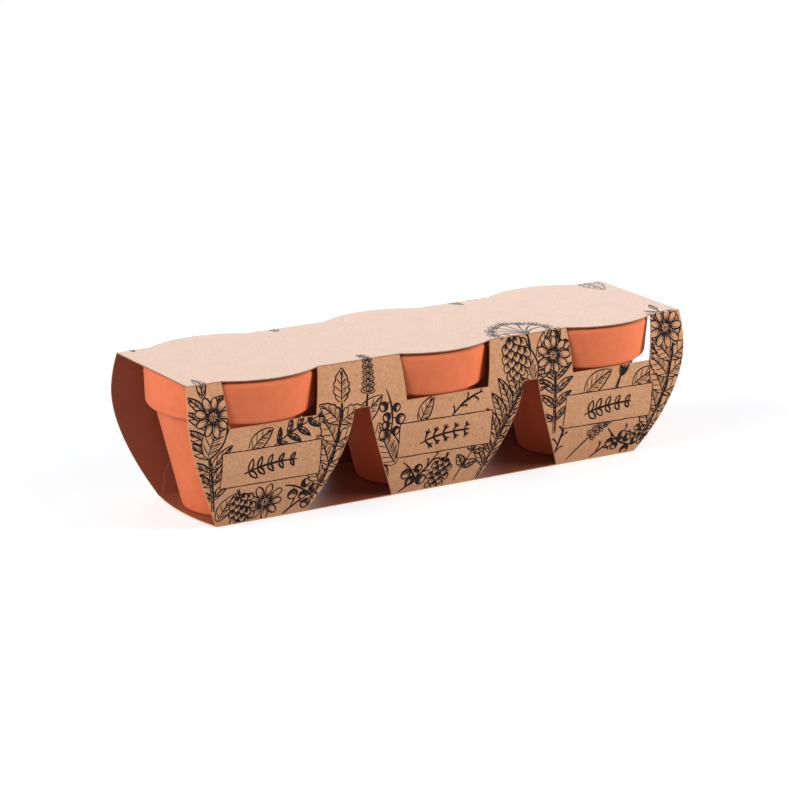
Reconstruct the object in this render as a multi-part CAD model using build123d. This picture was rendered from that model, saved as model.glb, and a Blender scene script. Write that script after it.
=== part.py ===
from build123d import *
import math
import os

# Indoor herb planter: three terracotta pots in a row, held by one folded card sleeve.
# X runs along the row, the front is at -Y, and the base of the sleeve stands on Z = 0.
# Each pot holds a pressed disc of coir and a paper sachet of seed.

# Pots
pot_count = 3
pot_height = 61.8
pot_rim_radius = 35.8
pot_rim_height = 17.6
pot_rim_taper = 1.0
pot_rim_step = 3.6
pot_rim_wall = 4.4
pot_lip_round = 1.8
pot_rim_edge_bevel = 1.3
pot_foot_radius = 19.2
pot_foot_bevel = 0.9
pot_foot_wall = 2.9
pot_floor = 5.0
bore_flat_count = 48
drain_hole_radius = 5.0
pot_spacing = 14.4

# Coir discs and seed sachets
coir_height = 12.0
coir_clearance = 0.8
sachet_width = 24.0
sachet_clearance = 0.7
sachet_thickness = 2.0
sachet_paper = 0.4
sachet_seam = 2.5
sachet_flap = 7.0
sachet_slope = 30.0

# Card sleeve
card_thickness = 0.5
head_gap = 0.9
rim_show = 7.1
foot_clearance = 4.4
side_bow = 6.0
rim_past_tongue = 0.8
window_play = 2.0
window_taper = 2.1
sill_gap = 0.75
rim_side_gap = 0.65
end_cover = 2.9
leg_swell = 1.0
leg_widest_drop = 14.0
leg_bend_height = 32.0
leg_foot_spread = 2.0
base_end_bow = 2.8
tab_height = 12.0
tab_inset = 1.2
tab_taper = 3.5
tab_corner = 3.0

# Levels of the stack, from the floor up
pot_base_level = card_thickness
pot_rim_level = pot_base_level + pot_height
rim_lower_level = pot_rim_level - pot_rim_height
sleeve_height = pot_rim_level + head_gap + card_thickness
panel_top_level = sleeve_height - card_thickness
sill_level = rim_lower_level - sill_gap
sachet_level = pot_base_level + pot_floor + coir_height

# Bore of a pot, which narrows from the rim's mouth to the floor
mouth_radius = pot_rim_radius - pot_rim_wall
bore_narrowing = mouth_radius - (pot_foot_radius - pot_foot_wall)
bore_draft = math.degrees(math.atan(bore_narrowing / (pot_height - pot_floor)))

# Row of pots
pot_pitch = 2 * pot_rim_radius + pot_spacing
window_centres = [pot_pitch * (i - (pot_count - 1) / 2) for i in range(pot_count)]

# Bowed front and back panels: an arc through the top and base creases
top_half_depth = pot_rim_radius - rim_show
base_half_depth = pot_foot_radius + foot_clearance
crease_inset = top_half_depth - base_half_depth
crease_chord = math.hypot(crease_inset, sleeve_height)
bow_radius = crease_chord**2 / (8 * side_bow) + side_bow / 2
bow_offset = bow_radius - side_bow
bow_centre_y = (top_half_depth + base_half_depth) / 2 - bow_offset * sleeve_height / crease_chord
bow_centre_z = sleeve_height / 2 + bow_offset * crease_inset / crease_chord
crease_round = 0.8 * card_thickness

# Side panel about one pot, which the panel's two ends share
leg_crease_half_width = pot_rim_radius + end_cover
leg_half_width = leg_crease_half_width + leg_swell
leg_widest_level = sleeve_height - leg_widest_drop
leg_foot_half_width = pot_foot_radius + leg_foot_spread
sleeve_half_length = window_centres[-1] + leg_crease_half_width
base_half_length = window_centres[-1] + leg_foot_half_width


def panel_depth(height, skin=0.0):
    """Distance from the centre plane to a side panel, at a height and a depth below its outer face."""
    return bow_centre_y + math.sqrt((bow_radius - skin) ** 2 - (height - bow_centre_z) ** 2)


# Window in a side panel: the rim stands out through it, with play at both sides
rim_chord_depth = panel_depth(pot_rim_level - pot_lip_round, card_thickness)
window_half_width = math.sqrt(pot_rim_radius**2 - rim_chord_depth**2) + window_play
sill_half_width = window_half_width - window_taper

# The pots have slid towards -X, each nearly against its window's side
pot_slide = window_play - rim_side_gap
pot_centres = [x - pot_slide for x in window_centres]


def bow_strip(low, high, skin):
    """One card thickness of the bowed side at +Y between two heights, over the sleeve's full length."""
    outer = bow_radius - skin
    ring = Pos(bow_centre_y, bow_centre_z) * (Circle(outer) - Circle(outer - card_thickness))
    band_depth = 2 * (top_half_depth + side_bow)
    band = Pos(band_depth / 2, (low + high) / 2) * Rectangle(band_depth, high - low)
    return extrude(Plane.YZ * (ring & band), sleeve_half_length + leg_half_width, both=True)


def leg_face():
    """The outline of a side panel about one pot, from the top crease to the floor."""
    widest = (leg_half_width, leg_widest_level)
    crease = (leg_crease_half_width, sleeve_height)
    foot = (leg_foot_half_width, 0)
    shoulder = TangentArc(widest, crease, tangent=(0, 1))
    side = Bezier(widest, (leg_half_width, leg_bend_height), foot)
    right = [shoulder, side]
    left = [mirror(edge, about=Plane.YZ) for edge in right]
    top = Line((-leg_crease_half_width, sleeve_height), crease)
    bottom = Line((-leg_foot_half_width, 0), foot)
    return make_face(right + left + [top, bottom])


def window_face():
    """A window that is open at the top crease and narrows to its sill."""
    return make_face(
        Polyline(
            (-window_half_width, sleeve_height),
            (-sill_half_width, sill_level),
            (sill_half_width, sill_level),
            (window_half_width, sleeve_height),
            close=True,
        )
    )


def side_face():
    """The whole side panel laid in X and height: a band of windows with a leg below each pot."""
    band_length = window_centres[-1] - window_centres[0]
    band_height = sleeve_height - sill_level
    face = Pos(0, sill_level + band_height / 2) * Rectangle(band_length, band_height)
    for x in window_centres:
        face += Pos(x, 0) * leg_face()
    for x in window_centres:
        face -= Pos(x, 0) * window_face()
    return face


def cut_from_strip(face, strip):
    """The part of a bowed strip at +Y that lies behind an outline."""
    depth = top_half_depth + 2 * side_bow
    return extrude(Plane.XZ * face, -depth) & strip


def side_panel(low):
    """A side panel at +Y that stands at a height and ends under the top panel."""
    return cut_from_strip(side_face(), bow_strip(low, panel_top_level, 0))


def tongue_face():
    """The flap that the window's arched cut leaves on the top panel, over one rim and its twin."""
    crease_depth = panel_depth(panel_top_level)
    tip_depth = pot_rim_radius - rim_past_tongue
    front = ThreePointArc(
        (-window_half_width, -crease_depth), (0, -tip_depth), (window_half_width, -crease_depth)
    )
    back = mirror(front, about=Plane.XZ)
    right = Line((window_half_width, -crease_depth), (window_half_width, crease_depth))
    left = mirror(right, about=Plane.YZ)
    return make_face([front, right, back, left])


def top_panel():
    """The flat top with its two creases and a tongue over each rim, front and back."""
    half_depth = panel_depth(panel_top_level)
    plate = Box(2 * sleeve_half_length, 2 * half_depth, card_thickness)
    creases = plate.edges().filter_by(Axis.X).group_by(Axis.Z)[-1]
    panel = Pos(0, 0, panel_top_level + card_thickness / 2) * fillet(creases, crease_round)
    for x in window_centres:
        panel += Pos(x, 0, panel_top_level) * extrude(tongue_face(), card_thickness)
    return panel


def base_panel():
    """The flat base, creased to the front panel and ending inside the back panel."""
    front = -panel_depth(card_thickness)
    back = panel_depth(0, card_thickness)
    bow_x = base_half_length + base_end_bow
    right = ThreePointArc((base_half_length, front), (bow_x, 0), (base_half_length, back))
    left = mirror(right, about=Plane.YZ)
    near = Line((-base_half_length, front), (base_half_length, front))
    far = Line((-base_half_length, back), (base_half_length, back))
    plate = extrude(make_face([right, left, near, far]), card_thickness)
    crease = plate.edges().filter_by(Axis.X).group_by(Axis.Z)[0].group_by(Axis.Y)[0]
    return fillet(crease, crease_round)


def glue_tabs():
    """Three tabs that fold up from the base and are glued inside the back panel's legs."""
    foot = leg_foot_half_width - tab_inset
    tip = foot - tab_taper
    tip_level = card_thickness + tab_height
    corner_level = tip_level - tab_corner
    tab = make_face(
        Polyline(
            (-foot, 0),
            (-tip, corner_level),
            (tab_corner - tip, tip_level),
            (tip - tab_corner, tip_level),
            (tip, corner_level),
            (foot, 0),
            close=True,
        )
    )
    strip = bow_strip(card_thickness, tip_level, card_thickness)
    return [cut_from_strip(Pos(x, 0) * tab, strip) for x in window_centres]


def inner_radius(height):
    """Radius of a pot's bore at a height above its foot."""
    return mouth_radius - (pot_height - height) * math.tan(math.radians(bore_draft))


def bore_form(low, high, clearance=0.0):
    """The drafted bore between two heights, in flats too fine to show, less a clearance all round."""
    mouth = RegularPolygon(inner_radius(high) - clearance, bore_flat_count, major_radius=False)
    return Pos(0, 0, high) * Rot(180, 0, 0) * extrude(mouth, high - low, taper=bore_draft)


def pot():
    """A pressed terracotta pot: tapered body, deep rim that steps out, bore and one drain hole."""
    rim_foot_radius = pot_rim_radius - pot_rim_taper
    rim_foot_height = pot_height - pot_rim_height
    lip_facet = pot_lip_round * (1 - math.cos(math.radians(45)))
    outline = Polyline(
        (drain_hole_radius, 0),
        (pot_foot_radius - pot_foot_bevel, 0),
        (pot_foot_radius, pot_foot_bevel),
        (rim_foot_radius - pot_rim_step, rim_foot_height),
        (rim_foot_radius - pot_rim_edge_bevel, rim_foot_height),
        (rim_foot_radius, rim_foot_height + pot_rim_edge_bevel),
        (pot_rim_radius, pot_height - pot_lip_round),
        (pot_rim_radius - lip_facet, pot_height - lip_facet),
        (pot_rim_radius - pot_lip_round, pot_height),
        (drain_hole_radius, pot_height),
        close=True,
    )
    return revolve(Plane.XZ * make_face(outline), Axis.Z) - bore_form(pot_floor, pot_height)


def coir_disc():
    """A disc of coir, pressed to the bore's taper, that lies on the pot's floor."""
    return bore_form(pot_floor, pot_floor + coir_height, coir_clearance)


def seed_sachet():
    """A paper packet as long as the bore leaves room for, with flat seams and a folded flap."""
    reach = inner_radius(pot_floor + coir_height) - sachet_clearance
    length = 2 * math.sqrt(reach**2 - (sachet_width / 2) ** 2)
    belly_width = sachet_width - 2 * sachet_seam
    belly_length = length - sachet_seam - sachet_flap
    belly_height = sachet_thickness - sachet_paper
    belly_y = (sachet_seam - sachet_flap) / 2
    belly = extrude(Rectangle(belly_width, belly_length), belly_height, taper=sachet_slope)
    flap = extrude(Rectangle(sachet_width, sachet_flap), sachet_paper)
    packet = extrude(Rectangle(sachet_width, length), sachet_paper)
    packet += Pos(0, belly_y, sachet_paper) * belly
    return packet + Pos(0, (length - sachet_flap) / 2, sachet_paper) * flap


os.makedirs("parts", exist_ok=True)

back_panel = side_panel(0)
front_panel = mirror(side_panel(card_thickness), about=Plane.XZ)
export_step(top_panel(), "parts/top_panel.step")
export_step(front_panel, "parts/front_panel.step")
export_step(back_panel, "parts/back_panel.step")
export_step(base_panel(), "parts/base_panel.step")
export_step(Compound(children=glue_tabs()), "parts/glue_tabs.step")

for number, x in enumerate(pot_centres, start=1):
    export_step(Pos(x, 0, pot_base_level) * pot(), f"parts/pot_{number}.step")
    export_step(Pos(x, 0, pot_base_level) * coir_disc(), f"parts/coir_disc_{number}.step")
    export_step(Pos(x, 0, sachet_level) * seed_sachet(), f"parts/seed_sachet_{number}.step")
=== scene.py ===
"""Looks of the indoor herb planter: three terracotta pots in a printed kraft card sleeve.

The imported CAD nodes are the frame, in metres, with +Z up and the front at -Y.
Sizes in this file are in millimetres until a mesh or a shader takes them.
"""

from __future__ import annotations

import logging
import math
import random
from abc import ABC, abstractmethod
from dataclasses import dataclass, field, replace
from enum import Enum
from typing import Any, Callable, Iterable, Sequence

import bpy
import numpy as np
from mathutils import Matrix, Vector
from mathutils.bvhtree import BVHTree

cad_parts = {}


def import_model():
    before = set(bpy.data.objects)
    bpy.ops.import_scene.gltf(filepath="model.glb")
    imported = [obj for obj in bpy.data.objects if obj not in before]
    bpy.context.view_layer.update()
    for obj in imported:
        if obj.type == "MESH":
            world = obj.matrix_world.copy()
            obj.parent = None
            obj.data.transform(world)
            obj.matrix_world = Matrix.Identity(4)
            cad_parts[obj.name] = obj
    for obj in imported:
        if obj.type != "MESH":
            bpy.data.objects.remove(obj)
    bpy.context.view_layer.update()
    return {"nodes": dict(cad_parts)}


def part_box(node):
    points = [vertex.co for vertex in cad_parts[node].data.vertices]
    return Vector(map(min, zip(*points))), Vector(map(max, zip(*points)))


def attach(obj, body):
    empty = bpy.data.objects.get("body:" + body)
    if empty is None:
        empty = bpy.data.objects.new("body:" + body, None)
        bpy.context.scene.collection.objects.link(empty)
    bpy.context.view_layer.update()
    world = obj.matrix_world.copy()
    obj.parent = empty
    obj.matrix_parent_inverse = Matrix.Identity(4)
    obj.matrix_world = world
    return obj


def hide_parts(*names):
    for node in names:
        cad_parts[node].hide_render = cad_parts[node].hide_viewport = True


MM = 0.001
TINY = 1e-12
WINDOW_PITCH = 86.0
LABEL_HALF_WIDTH = 23.8
LABEL_LOW = 18.3
LABEL_HIGH = 33.8
INK_SPREAD = 1.1
FEWEST_SAMPLES = 6
ROUNDING_STEPS = 6
log = logging.getLogger("herb_planter")

Colour = tuple[float, float, float, float]
Place = tuple[float, float, float]
Point = tuple[float, float]
# A place on the card and the card's outward normal there, in the row frame
Touch = tuple[Vector, Vector]
Socket = bpy.types.NodeSocket
# The height output, strength and depth in millimetres of each bump
Relief = list[tuple[Socket, float, float]]


# Shader helpers


def linear(hex_colour: str) -> Colour:
    """Turn an sRGB hex colour into the linear colour that a socket takes.

    Args:
        hex_colour: Six hex digits after a hash.

    Returns:
        Linear red, green and blue, with an alpha of 1.
    """
    channels = [int(hex_colour[i : i + 2], 16) / 255 for i in (1, 3, 5)]
    red, green, blue = (
        c / 12.92 if c <= 0.04045 else ((c + 0.055) / 1.055) ** 2.4 for c in channels
    )
    return red, green, blue, 1.0


def add_node(
    tree: bpy.types.NodeTree,
    kind: str,
    inputs: dict[str | int, Any] | None = None,
    **settings: Any,
) -> bpy.types.Node:
    """Add one shader node with its settings, values and links.

    Args:
        tree: The node tree of a material or a world.
        kind: The node's type, without its ShaderNode prefix.
        inputs: For each input, by name or index, a value or the output that is linked to it.
        **settings: Properties of the node, such as operation.

    Returns:
        The new node.
    """
    node = tree.nodes.new("ShaderNode" + kind)
    for name, value in settings.items():
        setattr(node, name, value)
    for key, value in (inputs or {}).items():
        if isinstance(value, bpy.types.NodeSocket):
            tree.links.new(value, node.inputs[key])
        else:
            node.inputs[key].default_value = value
    return node


def new_material(name: str) -> tuple[bpy.types.Material, bpy.types.NodeTree, bpy.types.NodeSocket]:
    """Make an empty node material.

    Args:
        name: The material's name, after the real one.

    Returns:
        The material, its node tree and the surface input of its output.
    """
    material = bpy.data.materials.new(name)
    material.use_nodes = True
    tree = material.node_tree
    tree.nodes.clear()
    output = add_node(tree, "OutputMaterial")
    return material, tree, output.inputs["Surface"]


def per_metre(millimetres: float) -> float:
    """Noise scale whose features are about this many millimetres across."""
    return 1.0 / (millimetres * MM)


def lay_over(
    tree: bpy.types.NodeTree,
    under: Socket | Colour,
    tone: str,
    measure: Socket,
    span: tuple[float, float] = (0.0, 1.0),
    most: float = 1.0,
) -> Socket:
    """Lay a tone over a colour, by a measure of the place.

    Args:
        tree: The material's node tree.
        under: The colour below.
        tone: The sRGB hex colour on top.
        measure: The output that is measured.
        span: The measure where the tone starts and the one where it is strongest.
        most: The tone's share where it is strongest.

    Returns:
        The colour with the tone over it.
    """
    start, full = span
    inputs = {"Value": measure, "From Min": start, "From Max": full, "To Max": most}
    share = add_node(tree, "MapRange", inputs).outputs[0]
    inputs = {0: share, 6: under, 7: linear(tone)}
    return add_node(tree, "Mix", inputs, data_type="RGBA").outputs[2]


# Finishes


@dataclass(frozen=True)
class Finish(ABC):
    """The looks of one material: paint gives its colour and relief, and its fields the gloss."""

    roughness: float = 0.5
    ior: float = 1.5
    specular: float = 0.5
    sheen: float = 0.0

    @abstractmethod
    def paint(self, tree: bpy.types.NodeTree, place: Socket) -> tuple[Socket, Relief]:
        """Draw the finish.

        Args:
            tree: The material's node tree.
            place: The place on the piece, in metres.

        Returns:
            The colour, and each bump's height output, strength and depth in millimetres.
        """

    def build(self, name: str) -> bpy.types.Material:
        """Make the material of this finish.

        Args:
            name: The material's name.

        Returns:
            The material.
        """
        material, tree, surface = new_material(name)
        colour, relief = self.paint(tree, add_node(tree, "TexCoord").outputs["Object"])
        shape: dict[str | int, Any] = {}
        for height, strength, depth in relief:
            inputs = {"Height": height, "Strength": strength, "Distance": depth * MM, **shape}
            shape = {"Normal": add_node(tree, "Bump", inputs).outputs[0]}
        gloss = {
            "Roughness": self.roughness,
            "IOR": self.ior,
            "Specular IOR Level": self.specular,
            "Sheen Weight": self.sheen,
        }
        shader = add_node(tree, "BsdfPrincipled", {"Base Color": colour, **gloss, **shape})
        tree.links.new(shader.outputs[0], surface)
        return material


@dataclass(frozen=True)
class KraftCard(Finish):
    """Uncoated brown kraft board: pressed unbleached pulp, calendered to a low sheen.

    The eye gets a warm, slightly mottled brown: clouds of denser pulp, pale and dark flecks, and
    faint fibres along the sheet. The liner on the inside is painted darker and redder, as painted
    shade for the inside of the sleeve. The sheet waves a little.
    """

    face: str = "#D89E71"
    cloud: str = "#C68D63"
    # Painted shade: the inside face is drawn darker and redder, for the shade inside the sleeve.
    inner_shade: str = "#8B4C3A"
    fleck_pale: str = "#EDBB8E"
    fleck_dark: str = "#8C5638"
    # Die-cut edges show pale fibres. The top and the glue tabs get a darker colour here, as painted
    # shade.
    cut_edge: str = "#D8A47A"
    roughness: float = 0.48
    ior: float = 1.65
    cloud_mm: float = 9.0
    # Real fibres are some 0.03 mm wide. Streaks, flecks and fibres are drawn coarser, to be seen.
    streak_mm: float = 0.9
    fleck_mm: float = 1.1
    fibre_mm: float = 0.35
    wave_mm: float = 38.0
    outward: Place = (0.0, 0.0, 1.0)
    bow_axis: Place | None = None

    def paint(self, tree: bpy.types.NodeTree, place: Socket) -> tuple[Socket, Relief]:
        """Draw the outer face, the inside face in painted shade, and the die-cut edges.

        Args:
            tree: The material's node tree.
            place: The place on the panel, in metres.

        Returns:
            The colour and the relief, as Finish says.
        """
        facing = self._facing(tree)
        clouds, flecks, grain, waves = (
            add_node(
                tree,
                "TexNoise",
                {"Vector": place, "Scale": per_metre(size), "Detail": detail, "Roughness": rough},
            ).outputs["Fac"]
            for size, detail, rough in (
                (self.cloud_mm, 3.0, 0.6),
                (self.fleck_mm, 3.0, 0.75),
                (self.fibre_mm, 2.0, 0.5),
                (self.wave_mm, 1.0, 0.5),
            )
        )
        tone = lay_over(tree, linear(self.face), self.cloud, clouds)
        tone = lay_over(tree, tone, self.fleck_pale, flecks, (0.56, 0.72), 0.5)
        tone = lay_over(tree, tone, self.fleck_dark, flecks, (0.44, 0.3), 0.7)
        # Painted shade on the inside face, standing for the shade inside the sleeve.
        tone = lay_over(tree, tone, self.inner_shade, facing, (-0.4, -0.6), 0.92)
        for lengthways, size, spread in ((0.08, self.streak_mm, 0.035), (0.5, self.fibre_mm, 0.14)):
            inputs = {"Vector": place, "Scale": (lengthways, 1.0, 1.0)}
            drawn = add_node(tree, "Mapping", inputs).outputs[0]
            inputs = {"Vector": drawn, "Scale": per_metre(size), "Detail": 2.0}
            noise = add_node(tree, "TexNoise", inputs).outputs["Fac"]
            inputs = {"Value": noise, "From Min": 0.3, "From Max": 0.7}
            inputs |= {"To Min": 1.0 - spread, "To Max": 1.0 + spread}
            light = add_node(tree, "MapRange", inputs).outputs[0]
            inputs = {0: tone, "Scale": light}
            tone = add_node(tree, "VectorMath", inputs, operation="SCALE").outputs[0]
        across = add_node(tree, "Math", {0: facing}, operation="ABSOLUTE").outputs[0]
        tone = lay_over(tree, tone, self.cut_edge, across, (0.7, 0.35), 0.75)
        return tone, [(grain, 0.3, 0.04), (waves, 0.25, 1.2)]

    def _facing(self, tree: bpy.types.NodeTree) -> Socket:
        """Tell the outer face from the inner one and from the die-cut edges.

        Args:
            tree: The material's node tree.

        Returns:
            An output that is 1 on the outer face, -1 on the inner one and 0 on cut edges.
        """
        geometry = add_node(tree, "NewGeometry")
        across: Any = self.outward
        if self.bow_axis is not None:
            inputs = {0: geometry.outputs["Position"], 1: self.bow_axis}
            across = add_node(tree, "VectorMath", inputs, operation="SUBTRACT").outputs[0]
            inputs = {0: across, 1: (0.0, 1.0, 1.0)}
            across = add_node(tree, "VectorMath", inputs, operation="MULTIPLY").outputs[0]
            across = add_node(tree, "VectorMath", {0: across}, operation="NORMALIZE").outputs[0]
        inputs = {0: geometry.outputs["True Normal"], 1: across}
        return add_node(tree, "VectorMath", inputs, operation="DOT_PRODUCT").outputs["Value"]


@dataclass(frozen=True)
class Terracotta(Finish):
    """Fired red clay, pressed in a mould and left unglazed.

    The eye gets a matt, even orange with a powdery bloom, faint turning marks and some grog.
    """

    body: str = "#EA7A4E"
    bloom: str = "#ED8558"
    shade: str = "#E27349"
    grog: str = "#BC5833"
    roughness: float = 0.6
    ior: float = 1.42
    cloud_mm: float = 16.0
    bloom_mm: float = 4.0
    # Grains of grog are under 0.5 mm on a small pot. They are drawn coarser, to be seen at all.
    grain_mm: float = 0.3
    grog_mm: float = 0.9
    ring_mm: float = 1.6

    def paint(self, tree: bpy.types.NodeTree, place: Socket) -> tuple[Socket, Relief]:
        """Draw the fired clay.

        Args:
            tree: The material's node tree.
            place: The place on the pot, in metres.

        Returns:
            The colour and the relief, as Finish says.
        """
        turned = add_node(tree, "Mapping", {"Vector": place, "Scale": (0.02, 0.02, 1.0)}).outputs[0]
        clouds, bloom, rings, grain = (
            add_node(
                tree,
                "TexNoise",
                {"Vector": where, "Scale": per_metre(size), "Detail": detail, "Roughness": rough},
            ).outputs["Fac"]
            for where, size, detail, rough in (
                (place, self.cloud_mm, 3.0, 0.5),
                (place, self.bloom_mm, 5.0, 0.65),
                (turned, self.ring_mm, 3.0, 0.5),
                (place, self.grain_mm, 4.0, 0.5),
            )
        )
        grains = add_node(tree, "TexVoronoi", {"Vector": place, "Scale": per_metre(self.grog_mm)})
        tone = lay_over(tree, linear(self.shade), self.body, clouds)
        tone = lay_over(tree, tone, self.bloom, bloom, (0.4, 0.75), 0.6)
        tone = lay_over(tree, tone, self.grog, grains.outputs["Distance"], (0.16, 0.05), 0.45)
        return tone, [(rings, 0.25, 0.05), (grain, 0.2, 0.05)]


@dataclass(frozen=True)
class PrintingInk(Finish):
    """Warm black offset ink. Soaked into uncoated board, it is a little thin where the pulp is."""

    solid: str = "#1A0F10"
    thin: str = "#36241F"
    specular: float = 0.2
    break_mm: float = 0.5

    def paint(self, tree: bpy.types.NodeTree, place: Socket) -> tuple[Socket, Relief]:
        """Draw the ink.

        Args:
            tree: The material's node tree.
            place: The place on the print, in metres.

        Returns:
            The colour and no relief, as Finish says.
        """
        inputs = {"Vector": place, "Scale": per_metre(self.break_mm), "Detail": 3.0}
        pulp = add_node(tree, "TexNoise", inputs).outputs["Fac"]
        return lay_over(tree, linear(self.solid), self.thin, pulp, (0.5, 0.8)), []


@dataclass(frozen=True)
class PressedCoir(Finish):
    """Coconut fibre pressed dry: tangled brown threads, some pale, with painted shade in the
    hollows between them.

    Real threads are some 0.2 mm thick. They are drawn coarser, to be seen at the pot's size.
    """

    thread: str = "#7A5233"
    pale_thread: str = "#A98257"
    # Painted shade in the hollows between the threads.
    hollow_shade: str = "#3F2817"
    roughness: float = 0.9
    thread_mm: float = 0.9

    def paint(self, tree: bpy.types.NodeTree, place: Socket) -> tuple[Socket, Relief]:
        """Draw the tangle.

        Args:
            tree: The material's node tree.
            place: The place on the disc, in metres.

        Returns:
            The colour and the relief, as Finish says.
        """
        inputs = {"Vector": place, "Scale": per_metre(self.thread_mm)}
        inputs |= {"Detail": 5.0, "Roughness": 0.75, "Distortion": 2.5}
        tangle = add_node(tree, "TexNoise", inputs).outputs["Fac"]
        # Painted shade: the low parts of the tangle, which the bump sinks, are coloured dark.
        tone = lay_over(tree, linear(self.hollow_shade), self.thread, tangle, (0.35, 0.6))
        tone = lay_over(tree, tone, self.pale_thread, tangle, (0.58, 0.72))
        return tone, [(tangle, 0.8, 0.4)]


@dataclass(frozen=True)
class SachetPaper(Finish):
    """Machine-glazed paper: a smooth off-white with a soft crumple."""

    face: str = "#E9E2D2"
    shade: str = "#D8CFBC"
    roughness: float = 0.55
    pulp_mm: float = 1.2
    crumple_mm: float = 6.0

    def paint(self, tree: bpy.types.NodeTree, place: Socket) -> tuple[Socket, Relief]:
        """Draw the paper.

        Args:
            tree: The material's node tree.
            place: The place on the packet, in metres.

        Returns:
            The colour and the relief, as Finish says.
        """
        inputs = {"Vector": place, "Scale": per_metre(self.pulp_mm), "Detail": 4.0}
        pulp = add_node(tree, "TexNoise", inputs).outputs["Fac"]
        inputs = {"Vector": place, "Scale": per_metre(self.crumple_mm)}
        crumple = add_node(tree, "TexVoronoi", inputs, feature="SMOOTH_F1").outputs["Distance"]
        return lay_over(tree, linear(self.shade), self.face, pulp), [(crumple, 0.4, 0.4)]


# Mesh helpers


def make_object(
    name: str,
    vertices: Sequence[Sequence[float]] | np.ndarray,
    faces: Sequence[Sequence[int]],
    material: bpy.types.Material,
    smooth: bool = True,
) -> bpy.types.Object:
    """Make a mesh object from vertices in metres.

    Args:
        name: The piece's name.
        vertices: Places in the row frame, in metres.
        faces: Vertex indices of each face.
        material: The material of the whole piece.
        smooth: Whether its faces are shaded smooth.

    Returns:
        The object, linked to the scene.
    """
    mesh = bpy.data.meshes.new(name)
    mesh.from_pydata([tuple(v) for v in vertices], [], [tuple(f) for f in faces])
    mesh.materials.append(material)
    mesh.polygons.foreach_set("use_smooth", [smooth] * len(mesh.polygons))
    mesh.update()
    piece = bpy.data.objects.new(name, mesh)
    bpy.context.scene.collection.objects.link(piece)
    return piece


def rounded_profile(corners: Sequence[Place]) -> list[Point]:
    """Round the corners of a closed outline.

    Args:
        corners: Radius, height and rounding radius of each corner, in millimetres.

    Returns:
        The outline's points in order.
    """
    outline: list[Point] = []
    count = len(corners)
    for i, (x, z, radius) in enumerate(corners):
        corner = np.array((x, z))
        if radius <= 0:
            outline.append((x, z))
            continue
        to_last = np.array(corners[i - 1][:2]) - corner
        to_next = np.array(corners[(i + 1) % count][:2]) - corner
        to_last /= np.linalg.norm(to_last)
        to_next /= np.linalg.norm(to_next)
        half_angle = math.acos(float(np.clip(to_last @ to_next, -1, 1))) / 2
        bisector = (to_last + to_next) / np.linalg.norm(to_last + to_next)
        centre = corner + bisector * radius / math.sin(half_angle)
        first = corner + to_last * radius / math.tan(half_angle) - centre
        last = corner + to_next * radius / math.tan(half_angle) - centre
        start = math.atan2(first[1], first[0])
        turn = (math.atan2(last[1], last[0]) - start + math.pi) % (2 * math.pi) - math.pi
        for k in range(ROUNDING_STEPS + 1):
            angle = start + turn * k / ROUNDING_STEPS
            x, z = centre[0] + radius * math.cos(angle), centre[1] + radius * math.sin(angle)
            outline.append((x, z))
    return outline


def lathe(
    name: str,
    outline: Sequence[Point],
    centre: Vector,
    material: bpy.types.Material,
    segments: int = 160,
) -> bpy.types.Object:
    """Turn a closed outline about an upright axis.

    Args:
        name: The piece's name.
        outline: Radius and height of each point, in millimetres, above the centre.
        centre: The foot of the axis in the row frame, in metres.
        material: The material of the whole piece.
        segments: Steps round the axis.

    Returns:
        The turned piece.
    """
    rows = len(outline)
    angles = np.linspace(0, 2 * math.pi, segments, endpoint=False)
    radii, heights = np.array(outline).T * MM
    vertices = np.empty((segments, rows, 3))
    vertices[..., 0] = centre.x + np.cos(angles)[:, None] * radii
    vertices[..., 1] = centre.y + np.sin(angles)[:, None] * radii
    vertices[..., 2] = centre.z + heights
    faces = []
    for i in range(segments):
        here, beside = i * rows, (i + 1) % segments * rows
        for j in range(rows):
            above = (j + 1) % rows
            faces.append((here + j, beside + j, beside + above, here + above))
    return make_object(name, vertices.reshape(-1, 3), faces, material)


def stand_of(node: str) -> tuple[Vector, float, float]:
    """Where a round CAD node stands.

    Args:
        node: The node's name.

    Returns:
        The middle of its foot, in metres, and its radius and height, in millimetres.
    """
    low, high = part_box(node)
    foot = Vector(((low.x + high.x) / 2, (low.y + high.y) / 2, low.z))
    return foot, (high.x - low.x) / 2 / MM, (high.z - low.z) / MM


# Line art of the printed card


def bezier(controls: Sequence[Sequence[float]], step: float = 0.5) -> np.ndarray:
    """Sample a Bezier curve.

    Args:
        controls: Its control points, in millimetres.
        step: About how far apart the samples are.

    Returns:
        The samples, one row each.
    """
    points = np.array(controls, float)
    reach = np.linalg.norm(np.diff(points, axis=0), axis=1).sum()
    t = np.linspace(0, 1, max(FEWEST_SAMPLES, int(reach / step)))[:, None]
    degree = len(points) - 1
    return sum(
        math.comb(degree, i) * t**i * (1 - t) ** (degree - i) * points[i]
        for i in range(degree + 1)
    )


def arc(centre: Point, radius: float, start: float, end: float, count: int) -> np.ndarray:
    """Points on a circle from one angle to another, in degrees."""
    angles = np.radians(np.linspace(start, end, count))
    return np.array(centre) + np.column_stack((np.cos(angles), np.sin(angles))) * radius


def polar(start: Sequence[float], degrees: float, length: float) -> Point:
    """The point at an angle and a distance from a start."""
    angle = math.radians(degrees)
    return start[0] + length * math.cos(angle), start[1] + length * math.sin(angle)


def bowed(start: Sequence[float], degrees: float, length: float, bend: float) -> list[Point]:
    """Control points of a line that bows to its left by a share of its length."""
    tip = polar(start, degrees, length)
    middle = ((start[0] + tip[0]) / 2, (start[1] + tip[1]) / 2)
    return [(start[0], start[1]), polar(middle, degrees + 90, bend * length), tip]


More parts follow.
